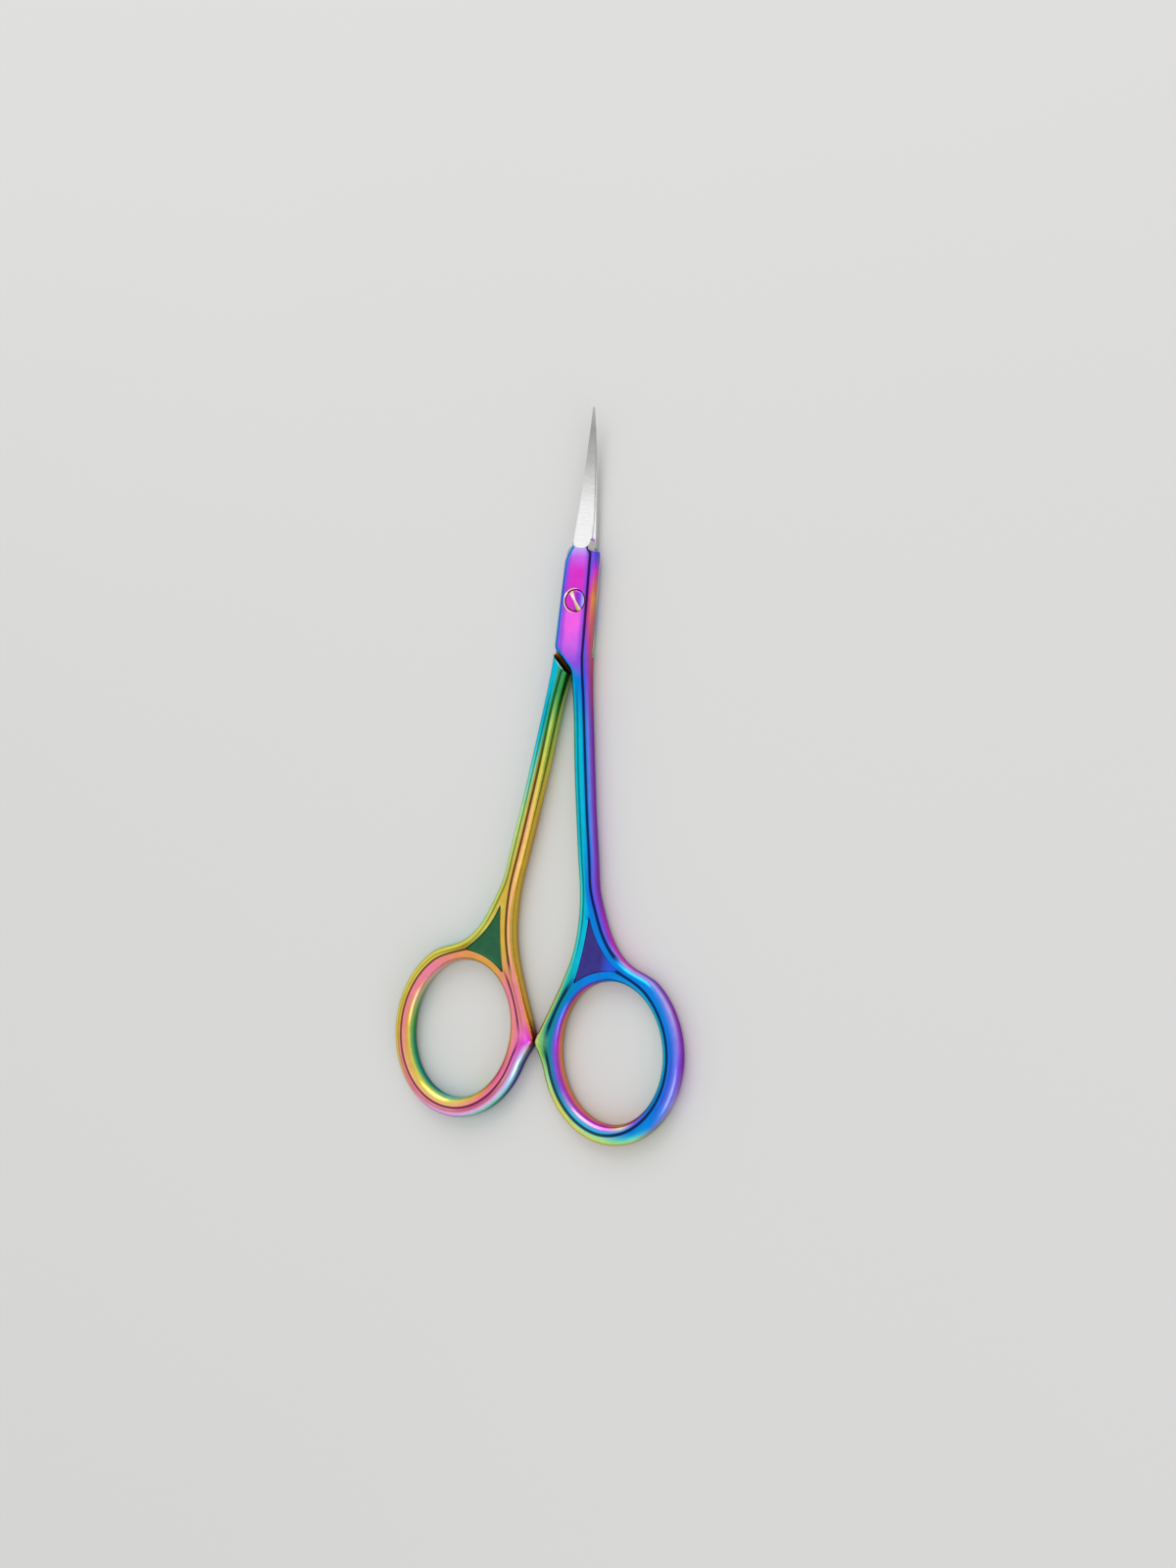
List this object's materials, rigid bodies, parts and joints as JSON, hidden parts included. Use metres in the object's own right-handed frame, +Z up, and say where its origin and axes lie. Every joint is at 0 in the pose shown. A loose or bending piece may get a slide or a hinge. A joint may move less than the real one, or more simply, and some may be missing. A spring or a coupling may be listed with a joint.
{
  "type": "cuticle scissors",
  "caption": "Fine cuticle scissors with slim rising blades on a slotted pivot screw, slender shanks and oval finger rings with stop nubs; the halves open on the screw.",
  "frame": {"origin": "on the pivot axis, in the plane that the closed scissors lie on (underside of the back half at the pivot)", "axes": "+X across, towards the front half's finger ring; +Y along the scissors towards the blade tips; +Z up, along the pivot axis towards the screw's slotted head"},
  "size_m": [0.0514, 0.115, 0.0032],
  "materials": {
    "front_coat": "mirror polished stainless steel with a rainbow titanium coat, blade bare and ground",
    "back_coat": "mirror polished stainless steel with a rainbow titanium coat, blade bare and ground",
    "screw_coat": "polished stainless steel with a rainbow titanium coat"
  },
  "bodies": {
    "back": {"back_half": "back_coat"},
    "front": {"front_half": "front_coat"},
    "screw": {"pivot_screw": "screw_coat"}
  },
  "joints": [
    {"name": "blades_open", "type": "hinge", "parent": "back", "child": "front", "pos_m": [0, 0, 0.0016], "axis": [0, 0, 1], "range_deg": [0, 60]},
    {"name": "tension_screw", "type": "hinge", "parent": "back", "child": "screw", "pos_m": [0, 0, 0.0016], "axis": [0, 0, 1], "range_deg": [-20, 20]}
  ]
}
